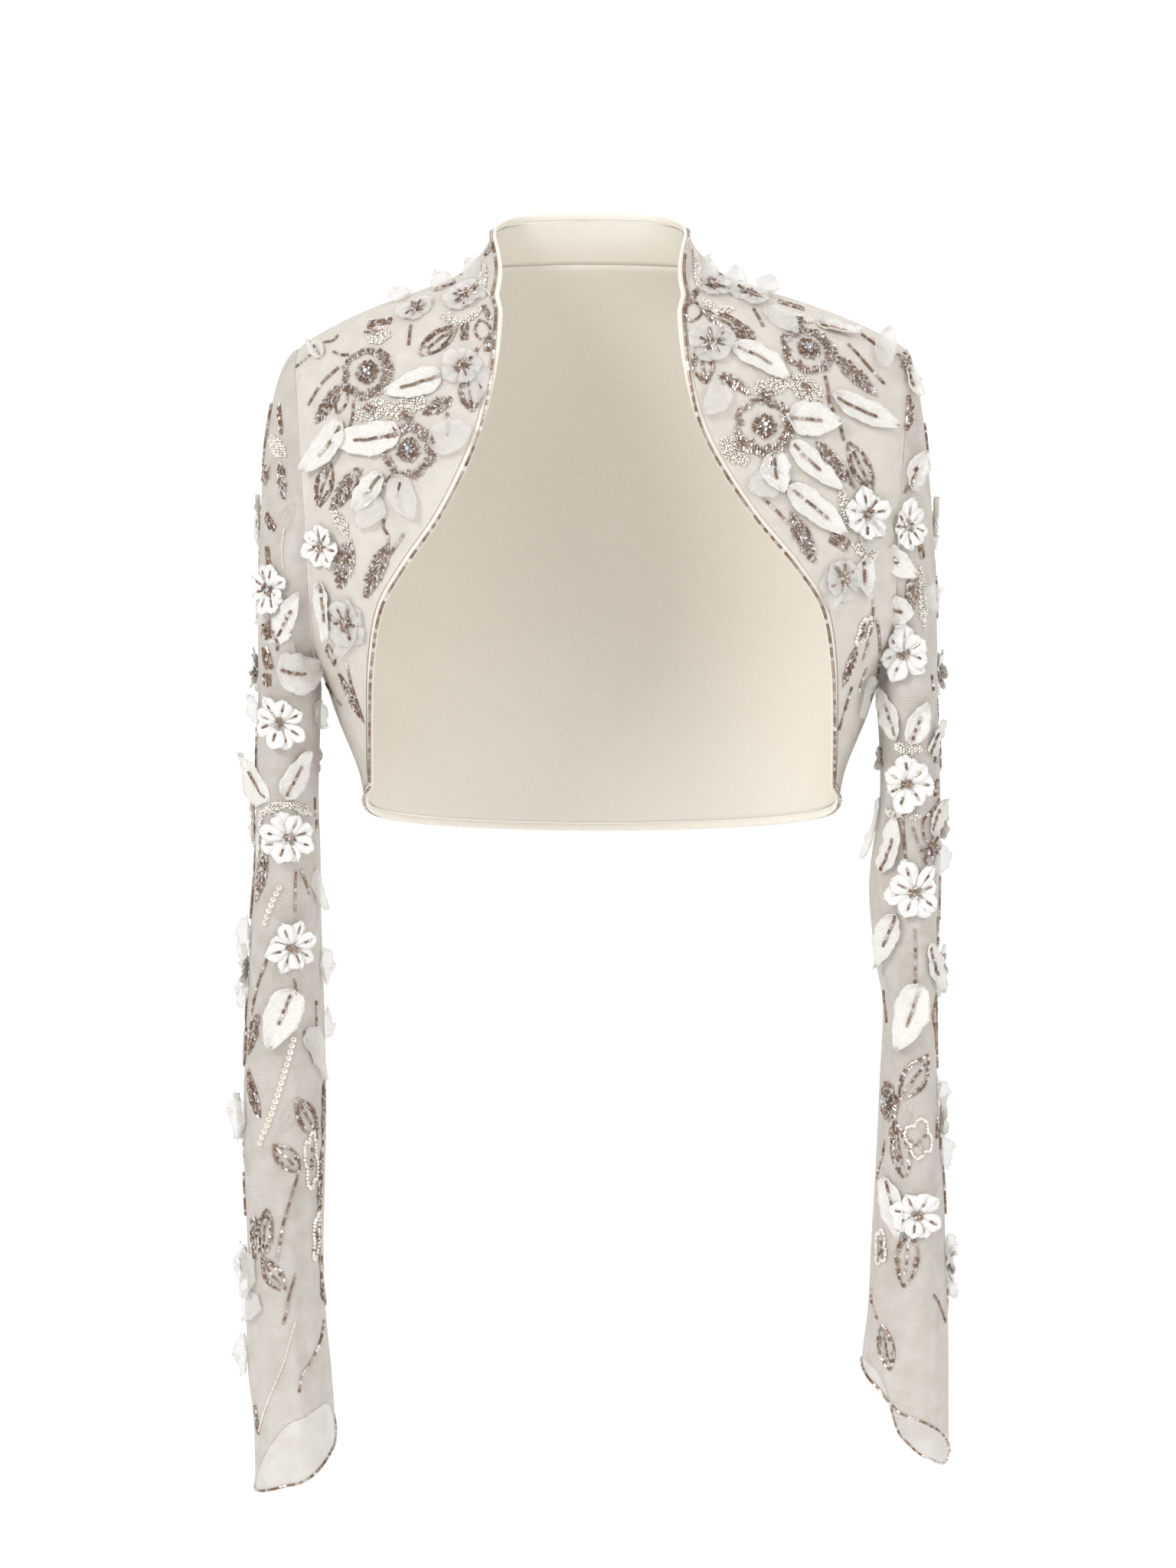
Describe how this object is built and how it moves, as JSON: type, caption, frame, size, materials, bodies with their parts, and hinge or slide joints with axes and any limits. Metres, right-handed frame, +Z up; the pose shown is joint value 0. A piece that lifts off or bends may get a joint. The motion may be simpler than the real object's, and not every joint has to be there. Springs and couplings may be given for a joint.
{
  "type": "bolero jacket",
  "caption": "Cropped open-front jacket of beaded ivory net with a short stand collar, long sheer sleeves and raised flowers and leaves, hollow, in its worn pose.",
  "frame": {"origin": "midway between the shoulders at the base of the neck, where the wearer's shoulders hold the jacket up", "axes": "+Z up, -Y the way the front faces, +X towards the wearer's left"},
  "size_m": [0.4349, 0.2055, 0.7816],
  "materials": {
    "lined_net": "ivory net over a plain lining, with satin applique and beads",
    "sheer_net": "sheer ivory net with satin applique and beads",
    "binding_satin": "soft cream satin"
  },
  "bodies": {
    "root": {"back": "lined_net", "front_left": "lined_net", "front_right": "lined_net", "collar": "lined_net", "sleeve_left": "sheer_net", "sleeve_right": "sheer_net", "edge_binding": "binding_satin"}
  },
  "joints": []
}
